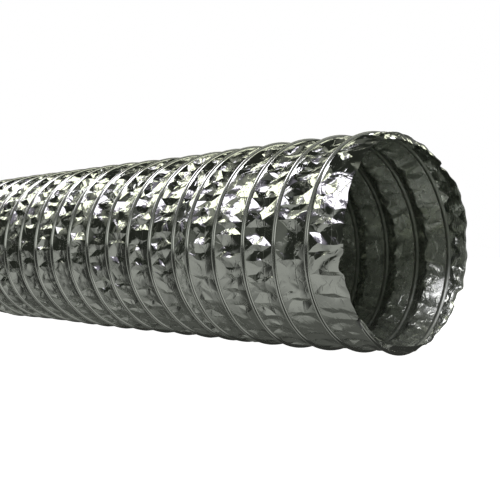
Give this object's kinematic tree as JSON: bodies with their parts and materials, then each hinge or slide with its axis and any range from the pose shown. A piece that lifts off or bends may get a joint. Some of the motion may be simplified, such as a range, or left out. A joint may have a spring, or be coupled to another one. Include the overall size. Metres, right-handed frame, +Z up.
{
  "type": "flexible foil duct",
  "caption": "Round flexible air duct: crumpled aluminium foil in two plies over a spring-wire helix, open at both ends; it bends and closes up.",
  "frame": {"origin": "middle of the duct's length, under its axis, at the height of the surface it lies on", "axes": "+X along the duct axis towards the open mouth, +Z up, -Y towards the side with the seam line"},
  "size_m": [0.5274, 0.1578, 0.1554],
  "materials": {
    "outer_foil": "bright crumpled foil",
    "inner_foil": "duller crumpled foil",
    "spring_wire": "drawn wire"
  },
  "bodies": {
    "rear_end": {"outer_ply_00": "outer_foil", "inner_ply_00": "inner_foil", "wire_turn_01": "spring_wire"},
    "web_01": {"outer_ply_01": "outer_foil", "inner_ply_01": "inner_foil"},
    "turn_02": {"wire_turn_02": "spring_wire"},
    "web_02": {"outer_ply_02": "outer_foil", "inner_ply_02": "inner_foil"},
    "turn_03": {"wire_turn_03": "spring_wire"},
    "web_03": {"outer_ply_03": "outer_foil", "inner_ply_03": "inner_foil"},
    "turn_04": {"wire_turn_04": "spring_wire"},
    "web_04": {"outer_ply_04": "outer_foil", "inner_ply_04": "inner_foil"},
    "turn_05": {"wire_turn_05": "spring_wire"},
    "web_05": {"outer_ply_05": "outer_foil", "inner_ply_05": "inner_foil"},
    "turn_06": {"wire_turn_06": "spring_wire"},
    "web_06": {"outer_ply_06": "outer_foil", "inner_ply_06": "inner_foil"},
    "turn_07": {"wire_turn_07": "spring_wire"},
    "web_07": {"outer_ply_07": "outer_foil", "inner_ply_07": "inner_foil"},
    "turn_08": {"wire_turn_08": "spring_wire"},
    "web_08": {"outer_ply_08": "outer_foil", "inner_ply_08": "inner_foil"},
    "turn_09": {"wire_turn_09": "spring_wire"},
    "web_09": {"outer_ply_09": "outer_foil", "inner_ply_09": "inner_foil"},
    "turn_10": {"wire_turn_10": "spring_wire"},
    "web_10": {"outer_ply_10": "outer_foil", "inner_ply_10": "inner_foil"},
    "turn_11": {"wire_turn_11": "spring_wire"},
    "web_11": {"outer_ply_11": "outer_foil", "inner_ply_11": "inner_foil"},
    "turn_12": {"wire_turn_12": "spring_wire"},
    "web_12": {"outer_ply_12": "outer_foil", "inner_ply_12": "inner_foil"},
    "turn_13": {"wire_turn_13": "spring_wire"},
    "web_13": {"outer_ply_13": "outer_foil", "inner_ply_13": "inner_foil"},
    "turn_14": {"wire_turn_14": "spring_wire"},
    "web_14": {"outer_ply_14": "outer_foil", "inner_ply_14": "inner_foil"},
    "turn_15": {"wire_turn_15": "spring_wire"},
    "web_15": {"outer_ply_15": "outer_foil", "inner_ply_15": "inner_foil"},
    "turn_16": {"wire_turn_16": "spring_wire"},
    "web_16": {"outer_ply_16": "outer_foil", "inner_ply_16": "inner_foil"},
    "turn_17": {"wire_turn_17": "spring_wire"},
    "web_17": {"outer_ply_17": "outer_foil", "inner_ply_17": "inner_foil"},
    "turn_18": {"wire_turn_18": "spring_wire"},
    "web_18": {"outer_ply_18": "outer_foil", "inner_ply_18": "inner_foil"},
    "mouth_end": {"wire_turn_19": "spring_wire", "outer_ply_19": "outer_foil", "inner_ply_19": "inner_foil"}
  },
  "joints": [
    {"name": "squeeze_01", "type": "slide", "parent": "rear_end", "child": "web_01", "axis": [-1, 0, 0], "range_m": [0, 0.0095], "deforming": ["outer_ply_01", "inner_ply_01"]},
    {"name": "bend_02", "type": "hinge", "parent": "web_01", "child": "turn_02", "pos_m": [-0.21899, 0, 0.0777], "axis": [0, 0, 1], "range_deg": [-4, 4]},
    {"name": "squeeze_02", "type": "slide", "parent": "turn_02", "child": "web_02", "axis": [-1, 0, 0], "range_m": [0, 0.0095], "deforming": ["outer_ply_02", "inner_ply_02"]},
    {"name": "bend_03", "type": "hinge", "parent": "web_02", "child": "turn_03", "pos_m": [-0.19099, 0, 0.0777], "axis": [0, 0, 1], "range_deg": [-4, 4]},
    {"name": "squeeze_03", "type": "slide", "parent": "turn_03", "child": "web_03", "axis": [-1, 0, 0], "range_m": [0, 0.0095], "deforming": ["outer_ply_03", "inner_ply_03"]},
    {"name": "bend_04", "type": "hinge", "parent": "web_03", "child": "turn_04", "pos_m": [-0.16299, 0, 0.0777], "axis": [0, 0, 1], "range_deg": [-4, 4]},
    {"name": "squeeze_04", "type": "slide", "parent": "turn_04", "child": "web_04", "axis": [-1, 0, 0], "range_m": [0, 0.0095], "deforming": ["outer_ply_04", "inner_ply_04"]},
    {"name": "bend_05", "type": "hinge", "parent": "web_04", "child": "turn_05", "pos_m": [-0.13499, 0, 0.0777], "axis": [0, 0, 1], "range_deg": [-4, 4]},
    {"name": "squeeze_05", "type": "slide", "parent": "turn_05", "child": "web_05", "axis": [-1, 0, 0], "range_m": [0, 0.0095], "deforming": ["outer_ply_05", "inner_ply_05"]},
    {"name": "bend_06", "type": "hinge", "parent": "web_05", "child": "turn_06", "pos_m": [-0.10699, 0, 0.0777], "axis": [0, 0, 1], "range_deg": [-4, 4]},
    {"name": "squeeze_06", "type": "slide", "parent": "turn_06", "child": "web_06", "axis": [-1, 0, 0], "range_m": [0, 0.0095], "deforming": ["outer_ply_06", "inner_ply_06"]},
    {"name": "bend_07", "type": "hinge", "parent": "web_06", "child": "turn_07", "pos_m": [-0.07899, 0, 0.0777], "axis": [0, 0, 1], "range_deg": [-4, 4]},
    {"name": "squeeze_07", "type": "slide", "parent": "turn_07", "child": "web_07", "axis": [-1, 0, 0], "range_m": [0, 0.0095], "deforming": ["outer_ply_07", "inner_ply_07"]},
    {"name": "bend_08", "type": "hinge", "parent": "web_07", "child": "turn_08", "pos_m": [-0.05099, 0, 0.0777], "axis": [0, 0, 1], "range_deg": [-4, 4]},
    {"name": "squeeze_08", "type": "slide", "parent": "turn_08", "child": "web_08", "axis": [-1, 0, 0], "range_m": [0, 0.0095], "deforming": ["outer_ply_08", "inner_ply_08"]},
    {"name": "bend_09", "type": "hinge", "parent": "web_08", "child": "turn_09", "pos_m": [-0.02299, 0, 0.0777], "axis": [0, 0, 1], "range_deg": [-4, 4]},
    {"name": "squeeze_09", "type": "slide", "parent": "turn_09", "child": "web_09", "axis": [-1, 0, 0], "range_m": [0, 0.0095], "deforming": ["outer_ply_09", "inner_ply_09"]},
    {"name": "bend_10", "type": "hinge", "parent": "web_09", "child": "turn_10", "pos_m": [0.00501, 0, 0.0777], "axis": [0, 0, 1], "range_deg": [-4, 4]},
    {"name": "squeeze_10", "type": "slide", "parent": "turn_10", "child": "web_10", "axis": [-1, 0, 0], "range_m": [0, 0.0095], "deforming": ["outer_ply_10", "inner_ply_10"]},
    {"name": "bend_11", "type": "hinge", "parent": "web_10", "child": "turn_11", "pos_m": [0.03301, 0, 0.0777], "axis": [0, 0, 1], "range_deg": [-4, 4]},
    {"name": "squeeze_11", "type": "slide", "parent": "turn_11", "child": "web_11", "axis": [-1, 0, 0], "range_m": [0, 0.0095], "deforming": ["outer_ply_11", "inner_ply_11"]},
    {"name": "bend_12", "type": "hinge", "parent": "web_11", "child": "turn_12", "pos_m": [0.06101, 0, 0.0777], "axis": [0, 0, 1], "range_deg": [-4, 4]},
    {"name": "squeeze_12", "type": "slide", "parent": "turn_12", "child": "web_12", "axis": [-1, 0, 0], "range_m": [0, 0.0095], "deforming": ["outer_ply_12", "inner_ply_12"]},
    {"name": "bend_13", "type": "hinge", "parent": "web_12", "child": "turn_13", "pos_m": [0.08901, 0, 0.0777], "axis": [0, 0, 1], "range_deg": [-4, 4]},
    {"name": "squeeze_13", "type": "slide", "parent": "turn_13", "child": "web_13", "axis": [-1, 0, 0], "range_m": [0, 0.00451], "deforming": ["outer_ply_13", "inner_ply_13"]},
    {"name": "bend_14", "type": "hinge", "parent": "web_13", "child": "turn_14", "pos_m": [0.11071, 0, 0.0777], "axis": [0, 0, 1], "range_deg": [-1.9, 1.9]},
    {"name": "squeeze_14", "type": "slide", "parent": "turn_14", "child": "web_14", "axis": [-1, 0, 0], "range_m": [0, 0.00451], "deforming": ["outer_ply_14", "inner_ply_14"]},
    {"name": "bend_15", "type": "hinge", "parent": "web_14", "child": "turn_15", "pos_m": [0.13241, 0, 0.0777], "axis": [0, 0, 1], "range_deg": [-1.9, 1.9]},
    {"name": "squeeze_15", "type": "slide", "parent": "turn_15", "child": "web_15", "axis": [-1, 0, 0], "range_m": [0, 0.0095], "deforming": ["outer_ply_15", "inner_ply_15"]},
    {"name": "bend_16", "type": "hinge", "parent": "web_15", "child": "turn_16", "pos_m": [0.16041, 0, 0.0777], "axis": [0, 0, 1], "range_deg": [-4, 4]},
    {"name": "squeeze_16", "type": "slide", "parent": "turn_16", "child": "web_16", "axis": [-1, 0, 0], "range_m": [0, 0.0095], "deforming": ["outer_ply_16", "inner_ply_16"]},
    {"name": "bend_17", "type": "hinge", "parent": "web_16", "child": "turn_17", "pos_m": [0.18841, 0, 0.0777], "axis": [0, 0, 1], "range_deg": [-4, 4]},
    {"name": "squeeze_17", "type": "slide", "parent": "turn_17", "child": "web_17", "axis": [-1, 0, 0], "range_m": [0, 0.0095], "deforming": ["outer_ply_17", "inner_ply_17"]},
    {"name": "bend_18", "type": "hinge", "parent": "web_17", "child": "turn_18", "pos_m": [0.21641, 0, 0.0777], "axis": [0, 0, 1], "range_deg": [-4, 4]},
    {"name": "squeeze_18", "type": "slide", "parent": "turn_18", "child": "web_18", "axis": [-1, 0, 0], "range_m": [0, 0.0095], "deforming": ["outer_ply_18", "inner_ply_18"]},
    {"name": "bend_19", "type": "hinge", "parent": "web_18", "child": "mouth_end", "pos_m": [0.24441, 0, 0.0777], "axis": [0, 0, 1], "range_deg": [-4, 4]}
  ],
  "couplings": [
    {"joint": "bend_02", "follows": "bend_07", "ratio": 1},
    {"joint": "squeeze_02", "follows": "squeeze_01", "ratio": 1},
    {"joint": "bend_03", "follows": "bend_07", "ratio": 1},
    {"joint": "squeeze_03", "follows": "squeeze_01", "ratio": 1},
    {"joint": "bend_04", "follows": "bend_07", "ratio": 1},
    {"joint": "squeeze_04", "follows": "squeeze_01", "ratio": 1},
    {"joint": "bend_05", "follows": "bend_07", "ratio": 1},
    {"joint": "squeeze_05", "follows": "squeeze_01", "ratio": 1},
    {"joint": "bend_06", "follows": "bend_07", "ratio": 1},
    {"joint": "squeeze_06", "follows": "squeeze_01", "ratio": 1},
    {"joint": "squeeze_07", "follows": "squeeze_01", "ratio": 1},
    {"joint": "bend_08", "follows": "bend_13", "ratio": 1},
    {"joint": "squeeze_08", "follows": "squeeze_01", "ratio": 1},
    {"joint": "bend_09", "follows": "bend_13", "ratio": 1},
    {"joint": "squeeze_09", "follows": "squeeze_01", "ratio": 1},
    {"joint": "bend_10", "follows": "bend_13", "ratio": 1},
    {"joint": "squeeze_10", "follows": "squeeze_01", "ratio": 1},
    {"joint": "bend_11", "follows": "bend_13", "ratio": 1},
    {"joint": "squeeze_11", "follows": "squeeze_01", "ratio": 1},
    {"joint": "bend_12", "follows": "bend_13", "ratio": 1},
    {"joint": "squeeze_12", "follows": "squeeze_01", "ratio": 1},
    {"joint": "squeeze_13", "follows": "squeeze_01", "ratio": 0.475},
    {"joint": "bend_14", "follows": "bend_19", "ratio": 0.475},
    {"joint": "squeeze_14", "follows": "squeeze_01", "ratio": 0.475},
    {"joint": "bend_15", "follows": "bend_19", "ratio": 0.475},
    {"joint": "squeeze_15", "follows": "squeeze_01", "ratio": 1},
    {"joint": "bend_16", "follows": "bend_19", "ratio": 1},
    {"joint": "squeeze_16", "follows": "squeeze_01", "ratio": 1},
    {"joint": "bend_17", "follows": "bend_19", "ratio": 1},
    {"joint": "squeeze_17", "follows": "squeeze_01", "ratio": 1},
    {"joint": "bend_18", "follows": "bend_19", "ratio": 1},
    {"joint": "squeeze_18", "follows": "squeeze_01", "ratio": 1}
  ]
}
